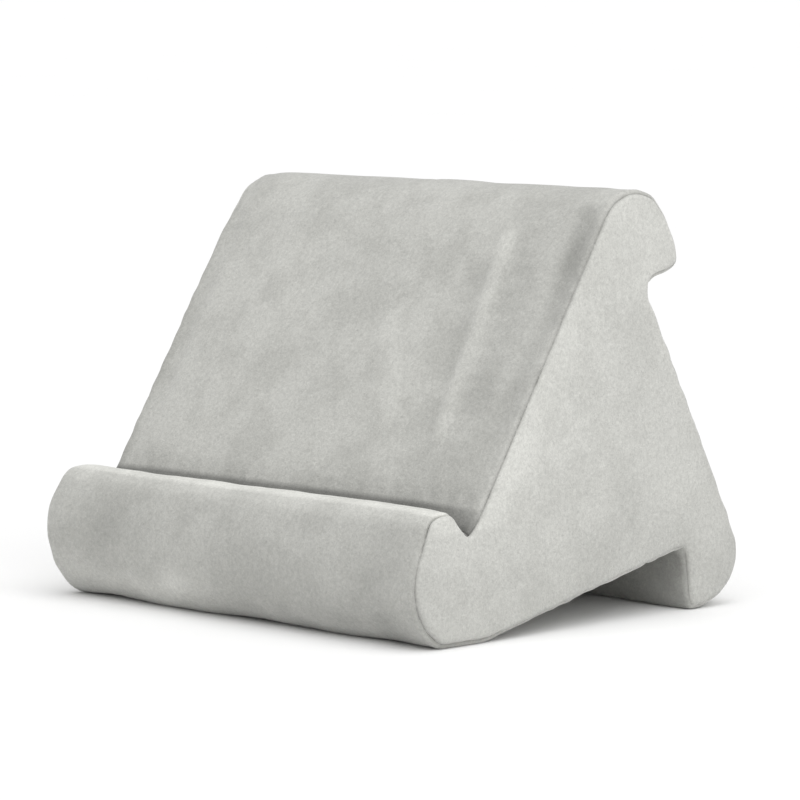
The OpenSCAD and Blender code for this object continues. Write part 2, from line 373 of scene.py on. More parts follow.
edge_r = 4.8
lip_edge_r = {"foam_front_lip": 7.5, "foam_top_lip": 6.0, "foam_rear_foot": 6.0}
lip_fade = 0.4
mesh_step = 3.3
seam_step = 0.7
turn_per_row = 0.16
row_growth = 0.3
least_bend = 0.01
columns_at_seam = [0, 0.7, 1.5, 2.5, 3.8, 5.5, 8.0]
columns_to_slot = 4
side_rings = [0.7, 1.5, 2.6, 4.0]
side_grid = 3.6
net_gap = 0.55 * side_grid


def edge_radius(points):
    """How round the edge beside the side panel is: thin lips give more than the wedge."""
    radius = np.full(len(points), edge_r)
    for node, lip_r in lip_edge_r.items():
        low, high = (np.array(corner)[1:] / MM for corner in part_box(node))
        off = (points - (low + high) / 2) / (high - low) * 2
        radius += (lip_r - edge_r) * np.exp(-lip_fade * np.sum(off ** 2, axis=1))
    return radius


def between(values, at):
    """Values of the closed outline at places between its points."""
    low = np.floor(at).astype(int)
    share = (at - low).reshape(-1, *[1] * (values.ndim - 1))
    count = len(values)
    return values[low % count] * (1 - share) + values[(low + 1) % count] * share


# Rows of the skin run across the stand. They are close together at seams and on tight corners.
around = len(outline)
slot_edge = slot_half_w / outline_step
lap = [zip_line, zip_line + slot_edge, rear_groove, top_groove, front_groove, zip_line - slot_edge]
lap = [zip_line + (at - zip_line) % around for at in lap] + [zip_line + around]
panel_after = [
    "base_panel", "base_panel", "back_panel", "backrest_panel", "front_lip_panel", "front_lip_panel",
]
seam_rows = [zip_line, rear_groove, top_groove, front_groove]


def run_to(point):
    """How far each point of the outline is from this one, the shorter way round it, in mm."""
    away = np.arange(around) - point
    return np.minimum(away % around, -away % around) * outline_step


outline_seam_gap = np.min([run_to(seam) for seam in seam_rows], axis=0)
outline_slot_gap = np.abs(run_to(zip_line) - slot_half_w)
# The step between rows that each point of the outline asks for
wanted = np.minimum(mesh_step, turn_per_row / np.maximum(np.abs(bend), least_bend))
nearest_edge = np.minimum(outline_seam_gap, outline_slot_gap)
wanted = np.minimum(wanted, seam_step + row_growth * nearest_edge)
wanted = np.maximum(wanted, seam_step)
count_to = np.concatenate([[0], np.cumsum(np.tile(outline_step / wanted, 2))])
row_at = []
row_panel = []
for start, end, panel in zip(lap, lap[1:], panel_after):
    first, last = np.interp([start, end], np.arange(len(count_to)), count_to)
    steps = max(2, math.ceil(last - first))
    marks = np.linspace(first, last, steps, endpoint=False)
    row_at.extend(np.interp(marks, count_to, np.arange(len(count_to))))
    row_panel.extend([panel] * steps)
row_at = np.array(row_at)
rows = len(row_at)
row_point = between(outline, row_at)
row_out = unit(between(outward, row_at))
row_edge_r = edge_radius(row_point)
row_seam_gap = between(outline_seam_gap, row_at)

# Columns run round the stand. They are told by their distance from the side seam.
flat_l = half_w - edge_r + edge_r * math.pi / 4
slot_column = flat_l - slot_half_l
to_slot = np.linspace(columns_at_seam[-1], slot_column, columns_to_slot + 1)[1:]
to_middle = np.linspace(slot_column, flat_l, math.ceil((flat_l - slot_column) / mesh_step) + 1)[1:]
half_columns = np.concatenate([columns_at_seam, to_slot, to_middle])
column_gap = np.concatenate([half_columns, half_columns[-2::-1]])
column_side = np.concatenate([-np.ones(len(half_columns) - 1), [0], np.ones(len(half_columns) - 1)])
columns = len(column_gap)

# The band: flat across the middle, and rounded towards the seam at each side
radius = row_edge_r[:, None]
reach = flat_l - column_gap[None, :]
flat_part = half_w - radius
turned = np.clip((reach - flat_part) / (flat_l - flat_part), 0, 1) * math.pi / 4
band_x = np.where(turned > 0, flat_part + radius * np.sin(turned), reach) * column_side[None, :]
band_depth = radius * (1 - np.cos(turned))
band_yz = row_point[:, None, :] - band_depth[:, :, None] * row_out[:, None, :]
points = [np.concatenate([band_x[:, :, None], band_yz], axis=2).reshape(-1, 3)]
seam_gap = [np.minimum(row_seam_gap[:, None], column_gap[None, :]).ravel()]
faces = {panel: [] for panel in panel_after}
slot_faces = []
for k in range(rows):
    below = (k + 1) % rows
    # Told a little past the row, so that a row on the slot's edge belongs to the strip after it
    from_zip = (row_at[k] + 0.01 - zip_line + around / 2) % around - around / 2
    in_slot_rows = abs(from_zip) < slot_edge
    for c in range(columns - 1):
        quad = (k * columns + c, below * columns + c, below * columns + c + 1, k * columns + c + 1)
        middle_x = (band_x[k, c] + band_x[k, c + 1]) / 2
        if in_slot_rows and abs(middle_x) < slot_half_l:
            slot_faces.append(quad)
        else:
            faces[row_panel[k]].append(quad)


def within(ring, spots):
    """Which spots lie inside a closed ring."""
    crossings = np.zeros(len(spots), int)
    for (y0, z0), (y1, z1) in zip(ring, np.roll(ring, -1, axis=0)):
        if z0 != z1:
            level = (spots[:, 1] >= min(z0, z1)) & (spots[:, 1] < max(z0, z1))
            crossings += level & (spots[:, 0] < y0 + (spots[:, 1] - z0) * (y1 - y0) / (z1 - z0))
    return crossings % 2 == 1


def edge_x(radius, depth):
    """How far out the rounded edge reaches along X at a depth below the outline."""
    return half_w - radius + np.sqrt(radius ** 2 - np.maximum(radius - depth, 0) ** 2)


# Rings stay shallow where a corner is too tight for them. The room that each row has is told as
# a share of the deepest ring's depth past the seam.
corner_share = 0.6
corner_spread = 3.0
least_room = 0.2
corner_bend = np.maximum(between(softened(bend, corner_spread), row_at), least_bend)
deepest_ring = row_edge_r * (1 - np.cos(math.pi / 4 + side_rings[-1] / row_edge_r))
at_seam = 0.3 * row_edge_r
row_room = (corner_share / corner_bend - at_seam) / (deepest_ring - at_seam)
row_room = np.clip(row_room, least_room, 1)


def side_panel_mesh(side, first):
    """Points, distances from the seam, and faces of a side panel, its first point numbered first.

    Rings follow the seam round the edge, and an even net fills the inside.
    """
    edge = np.arange(rows) * columns + (columns - 1 if side > 0 else 0)
    ring_points = []
    seam_depth = row_edge_r * (1 - math.cos(math.pi / 4))
    for gap in side_rings:
        angle = math.pi / 4 + np.minimum(gap / row_edge_r, math.pi / 4)
        depth = row_edge_r * (1 - np.cos(angle))
        depth = seam_depth + (depth - seam_depth) * row_room
        ring_points.append(np.column_stack([
            side * edge_x(row_edge_r, depth),
            row_point - depth[:, None] * row_out,
        ]))
    inner = ring_points[-1][:, 1:]
    low, high = inner.min(axis=0), inner.max(axis=0)
    net = []
    for j, z in enumerate(np.arange(low[1], high[1], side_grid * math.sqrt(3) / 2)):
        for y in np.arange(low[0] + (j % 2) * side_grid / 2, high[0], side_grid):
            net.append((y, z))
    net = np.array(net)
    gap = net[:, None, :] - inner[None, :, :]
    nearest = np.einsum("ijk,ijk->ij", gap, gap).argmin(axis=1)
    inside = np.sum((net - inner[nearest]) * row_out[nearest], axis=1) < -net_gap
    net = net[inside & within(inner, net)]
    flat = [Vector(p) for p in np.vstack([inner, net])]
    ring_edges = [(k, (k + 1) % rows) for k in range(rows)]
    found, _, triangles, *_ = delaunay_2d_cdt(flat, ring_edges, [], 1, 1e-5)
    found = np.array(found)
    if len(found) != len(flat):
        raise SystemExit("the side panel's rings cross each other")
    nearest, depth = to_outline(net)
    radius = edge_radius(outline)[nearest]
    made = np.vstack(ring_points + [np.column_stack([side * edge_x(radius, depth), net])])
    gaps = np.concatenate([np.full(rows, g) for g in side_rings] + [side_rings[-1] + depth])
    mesh_faces = []
    ring_numbers = [edge] + [first + r * rows + np.arange(rows) for r in range(len(side_rings))]
    for outer_ring, inner_ring in zip(ring_numbers, ring_numbers[1:]):
        for k in range(rows):
            n = (k + 1) % rows
            mesh_faces.append((outer_ring[k], outer_ring[n], inner_ring[n], inner_ring[k]))
    last_ring = first + (len(side_rings) - 1) * rows
    for a, b, c in triangles:
        turn = np.cross(found[b] - found[a], found[c] - found[a])
        mesh_faces.append(tuple(last_ring + i for i in ((a, b, c) if turn > 0 else (a, c, b))))
    if side < 0:
        mesh_faces = [face[::-1] for face in mesh_faces]
    return made, gaps, [tuple(int(i) for i in face) for face in mesh_faces]


for side, panel in ((-1, "side_panel_left"), (1, "side_panel_right")):
    first = sum(len(p) for p in points)
    made, gaps, faces[panel] = side_panel_mesh(side, first)
    points.append(made)
    seam_gap.append(gaps)
skin = np.vstack(points)
seam_gap = np.concatenate(seam_gap)
all_faces = [face for panel in faces for face in faces[panel]] + slot_faces


# ---- Plush cover: swell, seams and pile ----------------------------------------------
# The cover is drawn on tight. Foam presses it outwards between the seams, which hold it in.
# The seams, the slack and the folds are then worked in, with the lie of the pile and painted light and
# shade as two tones.

def normals_of(positions):
    """Outward unit normals of the skin at its points."""
    total = np.zeros_like(positions)
    for corners in (3, 4):
        flat = np.array([face for face in all_faces if len(face) == corners])
        p = positions[flat]
        if corners == 3:
            normal = np.cross(p[:, 1] - p[:, 0], p[:, 2] - p[:, 0])
        else:
            normal = np.cross(p[:, 2] - p[:, 0], p[:, 3] - p[:, 1])
        for k in range(corners):
            np.add.at(total, flat[:, k], normal)
    return unit(total)


def waves(positions, size, seed, count=12):
    """Smooth uneven swells, about -1 to 1, of about this size in mm."""
    dice = np.random.RandomState(seed)
    total = np.zeros(len(positions))
    for _ in range(count):
        way = unit(dice.normal(size=3))
        length = size * dice.uniform(0.7, 1.6)
        total += np.sin(positions @ way * 2 * math.pi / length + dice.uniform(0, 2 * math.pi))
    return total / math.sqrt(count)


swell_frames = 20
swell_pressure = 3.0
most_out = 2.4
most_in = 0.6
seam_hold = 1.6
slot_margin = 4.0
slot_reach_in = 5.0


def swollen(positions):
    """The skin after a cloth simulation: pinned at its seams, pressed outwards from inside."""
    mesh = bpy.data.meshes.new("swelling_skin")
    mesh.from_pydata((positions * MM).tolist(), [], all_faces)
    skin_object = bpy.data.objects.new("swelling_skin", mesh)
    bpy.context.scene.collection.objects.link(skin_object)
    held = skin_object.vertex_groups.new(name="held")
    firm = (seam_gap < seam_hold) | (positions[:, 2] < 1) | over_slot(positions)
    held.add(np.flatnonzero(firm).tolist(), 1.0, "REPLACE")
    cloth = skin_object.modifiers.new("cloth", "CLOTH")
    cloth.settings.quality = 5
    cloth.settings.mass = 0.15
    cloth.settings.tension_stiffness = 25
    cloth.settings.compression_stiffness = 25
    cloth.settings.shear_stiffness = 10
    cloth.settings.bending_stiffness = 1.0
    cloth.settings.vertex_group_mass = "held"
    cloth.settings.use_pressure = True
    cloth.settings.uniform_pressure_force = swell_pressure
    cloth.settings.effector_weights.gravity = 0
    cloth.collision_settings.use_collision = False
    scene = bpy.context.scene
    for step in range(1, swell_frames + 1):
        scene.frame_set(step)
    depsgraph = bpy.context.evaluated_depsgraph_get()
    result = skin_object.evaluated_get(depsgraph).to_mesh()
    moved = np.empty(len(positions) * 3)
    result.vertices.foreach_get("co", moved)
    moved = moved.reshape(-1, 3) / MM - positions
    scene.frame_set(1)
    bpy.data.objects.remove(skin_object)
    bpy.data.meshes.remove(mesh)
    rise = np.sum(moved * skin_out, axis=1)
    limit = np.where(rise > 0, most_out, most_in)
    rise = limit * np.tanh(rise / limit)
    return positions + rise[:, None] * skin_out


def over_slot(positions):
    """Which points lie on the part of the underside that the zip's slot takes up."""
    placed = in_zip_frame(positions)
    limits = [slot_half_l + slot_margin, slot_half_w + slot_margin, slot_reach_in]
    return np.all(np.abs(placed) < limits, axis=1)


skin_out = normals_of(skin)
skin = swollen(skin)


def ramp(values, start, end):
    """0 up to the start and 1 from the end on, whichever of the two is greater, even in between."""
    return np.clip((values - start) / (end - start), 0, 1)


def hump(away, width):
    """1 where away is 0, falling off smoothly over this width."""
    return np.exp(-(away / width) ** 2)


# The seams pull the pile down, with small puckers beside them
seam_dip = 1.0
seam_width = 1.0
ridge_h = 0.5
ridge_off = 3.2
pucker_h = 0.35
slack_h = 0.5
ripple_h = 0.16
skin_x, skin_y, skin_z = skin.T
skin_panel = np.full(len(skin), "side_panel", dtype=object)
skin_panel[:rows * columns] = np.repeat(np.array(row_panel, dtype=object), columns)
on_side = skin_panel == "side_panel"
side_gap = np.full(len(skin), 99.0)
side_gap[:rows * columns] = np.tile(column_gap, rows)
from_groove = np.linalg.norm(skin[:, 1:] - outline[front_groove], axis=1)
# The pile hides the seams more up the lip's ends, and low down at the back
seam_show = 1 - 0.6 * (skin_y < -85) * ramp(skin_z, 25, 40)
seam_show -= 0.6 * ramp(skin_y, -50, -10) * ramp(skin_z, 90, 70)
pull = 1 + 0.25 * waves(skin, 9, 1)
relief = -seam_dip * pull * hump(seam_gap, seam_width) * (0.4 + 0.6 * seam_show)
relief += ridge_h * hump(seam_gap - ridge_off, 1.6) * seam_show
relief += pucker_h * waves(skin, 11, 2) * np.exp(-seam_gap / 9)
# Slack in the fabric, over the whole skin, but less of it near the front groove
by_groove = np.exp(-(from_groove / 28) ** 4)
relief += slack_h * waves(skin, 70, 3) * ramp(seam_gap, 0, 15) * (1 - 0.7 * by_groove)
relief += ripple_h * waves(skin, 22, 4) * ramp(seam_gap, 0, 8)

# The backrest sinks in a shallow channel beside each side seam. It keeps soft ridges and dents
# where it was folded, each given by its ends as X and Z, its width and its height.
channel_gap = 12.0
channel_w = 6.0
channel_depth = {-1: 0.7, 1: 1.1}
channel_painted_shade = 0.45
left_edge_tone = 0.9
right_part_tone = 0.3
fold_painted_light = 0.6
folds = [
    ((84, 203), (94, 105), 3.5, 1.4),
    ((23, 157), (52, 112), 5.0, 0.6),
    ((-77, 183), (-64, 163), 5.0, 0.5),
    ((104, 190), (112, 120), 6.0, -0.5),
    ((131, 216), (139, 165), 5.0, -1.1),
    ((74, 180), (84, 140), 7.0, -0.5),
]
brush_stroke = ((108, 178), (112, 112), 12)
brush_pitch = 9.0
brush_tone = 0.16
backrest_face = (skin_panel == "backrest_panel") & (skin_out[:, 1] < -0.6)


def near_line(start, end, width):
    """How near each point is to a line on the backrest, 0 to 1, seen from the front."""
    start, end = np.array(start, float), np.array(end, float)
    spots = skin[:, [0, 2]] - start
    share = np.clip(spots @ (end - start) / np.sum((end - start) ** 2), 0, 1)
    off = spots - share[:, None] * (end - start)
    past_middle = np.maximum(np.linalg.norm(off, axis=1) - width / 2, 0)
    return hump(past_middle, width) * backrest_face


# Nap and painted light: above 0 lighter and below 0 darker than elsewhere, from the pile's lie and
# from painted highlight and shade
nap_and_painted_light = np.zeros(len(skin))
# Painted shade in the channel beside each side seam
for hand, depth in channel_depth.items():
    channel = hump(side_gap - channel_gap, channel_w) * backrest_face
    channel *= (np.sign(skin_x) == hand) * (1 + 0.3 * waves(skin, 40, 5))
    channel *= ramp(skin_z, 85, 110) * ramp(skin_z, 222, 210)
    relief -= depth * channel
    nap_and_painted_light -= channel_painted_shade * depth * channel
# Darker along the backrest's left edge and over its right part
nap_and_painted_light -= left_edge_tone * hump(side_gap, 6) * backrest_face * (skin_x < 0)
nap_and_painted_light -= right_part_tone * backrest_face * ramp(skin_x, 60, 100)
# Painted highlight along each fold's ridge, and painted shade in each dent
for start, end, width, height in folds:
    line = near_line(start, end, width)
    relief += height * line
    nap_and_painted_light += fold_painted_light * height * line
stroke_wave = np.sin(skin_z * 2 * math.pi / brush_pitch + waves(skin, 30, 6))
nap_and_painted_light += near_line(*brush_stroke) * (0.03 + brush_tone * stroke_wave)

# The groove's stitches gather the backrest's lower edge in small even tucks
tuck_pitch = 13.2
tuck_z = 75.0
tuck_h = 0.25
tuck_tone = 0.25
tuck = hump(skin_z - tuck_z, 3.5) * backrest_face
tuck_wave = np.sin(skin_x * 2 * math.pi / tuck_pitch)
relief += tuck_h * tuck * tuck_wave
nap_and_painted_light -= tuck_tone * tuck * (1 + tuck_wave)

# The front lip has a painted highlight along its crest, with painted light just below it, and is
# darker lower down, more so near the floor. Its pile is uneven in patches. Each patch is given by its
# X and Z, its reach along both, and its tone.
on_lip = (skin_panel == "front_lip_panel") * ramp(skin_y, -68, -90)
crest_z = outline[outline[:, 0] < outline[front_groove, 0], 1].max()
crest_painted_highlight = 1.8
below_crest_painted_light = 0.3
lip_face_tone = 0.45
lip_foot_tone = 0.15
lip_patches = [
    (-92, 42, 34, 15, -0.35),
    (-62, 14, 50, 9, 0.9),
    (60, 12, 60, 14, -0.6),
    (118, 30, 20, 40, -0.5),
]
# Painted highlight along the lip's crest, with painted light just below it
nap_and_painted_light += on_lip * below_crest_painted_light * ramp(skin_z, crest_z - 9, crest_z - 5)
nap_and_painted_light += on_lip * crest_painted_highlight * ramp(skin_z, crest_z - 2.2, crest_z - 0.8)
nap_and_painted_light -= on_lip * ramp(skin_z, 67, 63) * (lip_face_tone + lip_foot_tone * ramp(skin_z, 30, 0))
for patch_x, patch_z, reach_x, reach_z, tone in lip_patches:
    patch = hump(skin_x - patch_x, reach_x) * hump(skin_z - patch_z, reach_z)
    nap_and_painted_light += tone * on_lip * patch * (1 + 0.5 * waves(skin, 30, 7))

# The lip's ends are rounder than the rest, because nothing backs the foam there. Its left end
# bulges forward a little, and the ridge's left end is rounder too.
right_drop = 2.0
left_drop = 1.0
left_bulge = 4.5
left_bulge_reach = [38, 24, 20]
ridge_drop = 3.2
ridge_side_drop = 1.6
crest = on_lip * ramp(skin_z, 48, 64)
relief -= np.where(skin_x > 0, right_drop, left_drop) * crest * ramp(side_gap, 18, 0) ** 2
left_end = [-half_w, outline[:, 0].min() + 4, 50]
relief += left_bulge * np.exp(-np.sum(((skin - left_end) / left_bulge_reach) ** 2, axis=1))
ridge_end = ramp(skin_z, 195, 220) * (skin_x < 0)
relief -= ridge_drop * ridge_end * ramp(side_gap, 26, 0) ** 2
relief -= ridge_side_drop * ridge_end * on_side

# The side panels' pile is brushed towards the front, so they are darker further back. They are also
# darker low down, lighter high up, and lighter beside the backrest's seam.
further_back_tone = 0.4
low_tone = 0.6
high_tone = 0.35
beside_backrest_tone = 0.6
brushing = 0.05 - further_back_tone * ramp(skin_y, -60, 100)
nap_and_painted_light += on_side * brushing * (1 + 0.5 * waves(skin, 60, 8))
nap_and_painted_light -= low_tone * on_side * ramp(skin_z, 85, 15)
nap_and_painted_light += high_tone * on_side * ramp(skin_z, 150, 200)
beside_backrest = hump(seam_gap - 10, 12) * (skin_y < 0) * (skin_z > 60)
nap_and_painted_light += beside_backrest_tone * on_side * beside_backrest * ramp(skin_z, 175, 115)

# Pile pressed down by the stitches, and shaded deep in the front groove, though less of it
# at the groove's open right end
stitch_shade = 0.24
groove_shade = 0.85
groove_reach = 13.6
foot_shade = 0.45
seam_and_painted_shade = stitch_shade * hump(seam_gap, 1.2) * seam_show
in_groove = groove_shade * np.exp(-(from_groove / groove_reach) ** 16)
open_end = ramp(side_gap, 30, 0) * (skin_x > 0)
in_groove *= 1 - 0.6 * open_end * ramp(from_groove, 2, 12)
# The seam values also carry painted shade deep in the front groove, and below on the rear foot's
# hidden face
seam_and_painted_shade = np.maximum(seam_and_painted_shade, in_groove * ~on_side)
# Painted shade on the rear foot's hidden face, darker towards the right
foot_face = (skin_panel == "back_panel") * ramp(-skin_out[:, 1], 0.2, 0.8)
seam_and_painted_shade = np.maximum(seam_and_painted_shade, foot_shade * foot_face * ramp(skin_x, 20, 130))

skin_out = normals_of(skin)
skin = skin + relief[:, None] * skin_out
skin[:, 2] = np.maximum(skin[:, 2], 0)
skin_out = normals_of(skin)


# ---- Plush cover: cloth and panels ---------------------------------------------------
# Each panel is cut from the skin as cloth with its own thickness, and is covered in plush.
# The band's plush is a little darker than the side panels'.

def cloth_shell(name, panel_faces, thickness, material):
    """A panel of the skin as cloth of this thickness: an outer face, an inner face and edges."""
    used = sorted({i for face in panel_faces for i in face})
    number = {i: n for n, i in enumerate(used)}
    outer = skin[used]
    inner = outer - thickness * skin_out[used]
    count = len(used)
    shell = [tuple(number[i] for i in face) for face in panel_faces]
    sides = {}
    for face in shell:
        for a, b in zip(face, face[1:] + face[:1]):
            sides[(a, b)] = True
    edges = [(b, a, a + count, b + count) for a, b in sides if (b, a) not in sides]
    back = [tuple(i + count for i in face[::-1]) for face in shell]
    piece = place_mesh(name, np.vstack([outer, inner]), shell + back + edges, material)
    # The nap attribute holds the pile's lie and painted highlight and shade; the seam attribute holds
    # the seams' darkening and painted shade in the groove and on the rear foot
    for label, values in (("nap_and_painted_light", nap_and_painted_light[used]), ("seam", seam_and_painted_shade[used])):
        attribute = piece.data.attributes.new(label, "FLOAT", "POINT")
        attribute.data.foreach_set("value", np.tile(values, 2).astype(np.float32))
    return piece


def plush_material(name, pile, shade):
    """Short-pile polyester plush: soft and dull, pale where the pile leans away and darker where
    it has been brushed towards the eye, in blotches, with a fine grain from the pile itself."""
    material, tree, place = new_material(name)
    brushed = noise(tree, place, 34, Detail=7.0, Roughness=0.62, Distortion=0.3)
    blotches = ranged(tree, brushed, (0.40, 0.62), (0, 1), interpolation_type="SMOOTHSTEP")
    tufts = noise(tree, place, 2.2, Detail=4.0, Roughness=0.7)
    grain = noise(tree, place, 0.9, Detail=2.0)
    nap_and_light_mark = add(tree, "ShaderNodeAttribute", {}, attribute_name="nap_and_painted_light").outputs["Fac"]
    seam_and_shade_mark = add(tree, "ShaderNodeAttribute", {}, attribute_name="seam").outputs["Fac"]
    # The nap attribute brings the pile's lie and painted highlight and shade, and the seam attribute
    # brings the seams' darkening and painted shade, into the colour
    marks = times(
        tree,
        ranged(tree, nap_and_light_mark, (-2.0, 2.0), (0.60, 1.40)),
        ranged(tree, seam_and_shade_mark, (0, 1), (1.0, 0.3)),
    )
    pile_tone = times(
        tree,
        ranged(tree, tufts, (0.3, 0.7), (0.87, 1.10)),
        ranged(tree, grain, (0.3, 0.7), (0.92, 1.07)),
    )
    mottled = add(
        tree, "ShaderNodeVectorMath",
        {0: blend(tree, blotches, linear(pile), linear(shade)), 3: times(tree, pile_tone, marks)},
        operation="SCALE",
    )
    tuft_bumps = bumps(tree, tufts, 0.8, 0.5)
    coat(tree, {
        "Base Color": mottled.outputs["Vector"],
        "Normal": bumps(tree, grain, 0.35, 0.6, Normal=tuft_bumps),
        "Roughness": ranged(tree, tufts, (0.3, 0.7), (0.85, 1.0)),
        "Sheen Weight": 0.35,
        "Sheen Roughness": 0.45,
        "Specular IOR Level": 0.2,
    })
    return material


cloth_t = 1.7
band_plush = plush_material("band_plush", "#c4c4bf", "#b9b9b4")
side_plush = plush_material("side_plush", "#cdcdc8", "#c5c5c0")
piece_name = {
    "side_panel_left": "left_side_plush",
    "side_panel_right": "right_side_plush",
    "base_panel": "base_plush",
    "back_panel": "back_plush",
    "backrest_panel": "backrest_plush",
    "front_lip_panel": "front_lip_plush",
}
row_length = np.linalg.norm(np.roll(row_point, -1, axis=0) - row_point, axis=1)
for panel, panel_faces in faces.items():
    is_side = panel.startswith("side_panel")
    plush = side_plush if is_side else band_plush
    piece = cloth_shell(piece_name[panel], panel_faces, cloth_t, plush)
    if is_side:
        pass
    else:
        length = sum(step for step, name in zip(row_length, row_panel) if name == panel) * MM
    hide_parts(panel)
    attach(piece, "stand")


# ---- Zip: tapes and coils ------------------------------------------------------------
# A coil zip: two woven polyester tapes, each with a nylon coil along its edge.
# The tapes are sewn under the cover's two edges with a row of stitches at each side.

def grid_faces(first, across, down):
    """Quads over a grid of points that is `across` wide and `down` long."""
    return [
        (first + j * across + i, first + j * across + i + 1,
         first + (j + 1) * across + i + 1, first + (j + 1) * across + i)
        for j in range(down - 1) for i in range(across - 1)
    ]


tape_row = 1.5
tape_hem = 0.15
cord_in = 1.2
cord_r = 0.7
cord_h = 0.12
tape_lie = 0.12
tape_slim = 0.08
hem_share = 0.35
thread_sides = 6
# No thread here runs this way, so it always has a direction across it
untaken_way = [0.13, 0.31, 0.94]


def tape_mesh(node):
    """A tape: a thin woven strip with a thicker cord at its outer edge, and a slight wave."""
    low, high = reach_of(node)
    xs = np.arange(low[0], high[0] + 0.01, tape_row)
    xs = np.append(xs[xs < high[0] - 0.3], high[0])
    ys = np.concatenate([
        [low[1], low[1] + tape_hem],
        np.linspace(low[1] + 1, high[1] - 1, 7),
        [high[1] - tape_hem, high[1]],
    ])
    x, y = np.meshgrid(xs, ys, indexing="ij")
    cord = hump(np.abs(y) - np.abs(ys).max() + cord_in, cord_r)
    edge_in = np.minimum(np.minimum(y - low[1], high[1] - y) / tape_hem, 1)
    lie = waves(np.stack([x, y, y * 0], axis=-1).reshape(-1, 3), 30, 11).reshape(x.shape)
    middle = (low[2] + high[2]) / 2 + tape_lie * lie
    half = (high[2] - low[2]) / 2 - tape_slim + cord_h * cord
    half = half * (hem_share + (1 - hem_share) * np.sqrt(edge_in))
    outer = np.stack([x, y, middle - half], axis=-1).reshape(-1, 3)
    inner = np.stack([x, y, middle + half], axis=-1).reshape(-1, 3)
    across, down = len(ys), len(xs)
    count = len(outer)
    faces = grid_faces(0, across, down)
    faces += [tuple(i + count for i in face[::-1]) for face in faces]
    rim = list(range(across))
    rim += [j * across + across - 1 for j in range(1, down)]
    rim += [(down - 1) * across + i for i in range(across - 2, -1, -1)]
    rim += [j * across for j in range(down - 2, 0, -1)]
    faces += [(b, a, a + count, b + count) for a, b in zip(rim, rim[1:] + rim[:1])]
    return from_zip_frame(np.vstack([outer, inner])), faces


def tube(path, radius):
    """A round thread along a path, with closed ends."""
    sides = thread_sides
    path = np.asarray(path, float)
    way = unit(np.gradient(path, axis=0))
    across = unit(np.cross(way, untaken_way))
    over = np.cross(way, across)
    turn = np.arange(sides) * 2 * math.pi / sides
    rings = (path[:, None, :]
             + radius * (np.cos(turn)[None, :, None] * across[:, None, :]
                         + np.sin(turn)[None, :, None] * over[:, None, :]))
    points = rings.reshape(-1, 3)
    faces = [
        (k * sides + i, k * sides + (i + 1) % sides,
         (k + 1) * sides + (i + 1) % sides, (k + 1) * sides + i)
        for k in range(len(path) - 1) for i in range(sides)
    ]
    faces.append(tuple(range(sides))[::-1])
    faces.append(tuple((len(path) - 1) * sides + i for i in range(sides)))
    return points, faces


def joined(parts):
    """Several meshes as one."""
    points, faces = [], []
    for part_points, part_faces in parts:
        first = sum(len(p) for p in points)
        points.append(part_points)
        faces += [tuple(first + i for i in face) for face in part_faces]
    return np.vstack(points), faces


def stripes(tree, place, repeat_mm, way):
    """Even stripes across this way, which repeat at this distance."""
    turns_per_unit = 20 / (2 * math.pi)
    inputs = {"Vector": place, "Scale": per_metre(repeat_mm) / turns_per_unit, "Distortion": 0.6}
    return add(tree, "ShaderNodeTexWave", inputs, bands_direction=way).outputs["Fac"]


def woven_tape():
    """Polyester tape, woven: a herringbone of fine grey threads with a slight gloss."""
    material, tree, place = new_material("woven_polyester_tape")
    weave = times(tree, stripes(tree, place, 3.77, "X"), stripes(tree, place, 5.027, "Y"))
    coat(tree, {
        "Base Color": blend(tree, weave, linear("#8e8e8b"), linear("#a9a9a5")),
        "Normal": bumps(tree, weave, 0.15, 0.8),
        "Roughness": 0.7,
    })
    return material


def nylon():
    """Nylon monofilament, drawn and wound: grey, smooth and slightly translucent-looking."""
    material, tree, place = new_material("nylon_coil")
    streaks = noise(tree, place, 1.0, Detail=3.0)
    coat(tree, {
        "Base Color": blend(tree, streaks, linear("#a2a29f"), linear("#bdbdb9")),
        "Roughness": ranged(tree, streaks, (0, 1), (0.28, 0.45)),
        "IOR": 1.53,
    })
    return material


tape_cloth = woven_tape()
coil_nylon = nylon()
coil_pitch = 2.0
steps_per_turn = 14
filament_r = 0.38
for name, hand in (("front", -1), ("rear", 1)):
    low, high = reach_of(f"zip_tape_{name}")
    tape_points, tape_faces = tape_mesh(f"zip_tape_{name}")
    tape = place_mesh(f"{name}_zip_tape", tape_points, tape_faces, tape_cloth)
    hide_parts(f"zip_tape_{name}")
    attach(tape, "stand")

    low, high = reach_of(f"zip_teeth_{name}")
    turns = (high[0] - low[0]) / coil_pitch
    angle = np.linspace(0, turns * 2 * math.pi, int(turns * steps_per_turn) + 1)
    half_y = (high[1] - low[1]) / 2 - filament_r
    half_z = (high[2] - low[2]) / 2 - filament_r
    shift = 0 if hand < 0 else math.pi
    winding = np.column_stack([
        low[0] + filament_r + (high[0] - low[0] - 2 * filament_r) * angle / angle[-1],
        (low[1] + high[1]) / 2 + hand * half_y * np.cos(angle + shift),
        (low[2] + high[2]) / 2 + half_z * np.sin(angle + shift),
    ])
    coil_points, coil_faces = tube(winding, filament_r)
    coil = place_mesh(f"{name}_zip_coil", from_zip_frame(coil_points), coil_faces, coil_nylon)
    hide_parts(f"zip_teeth_{name}")
    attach(coil, "stand")

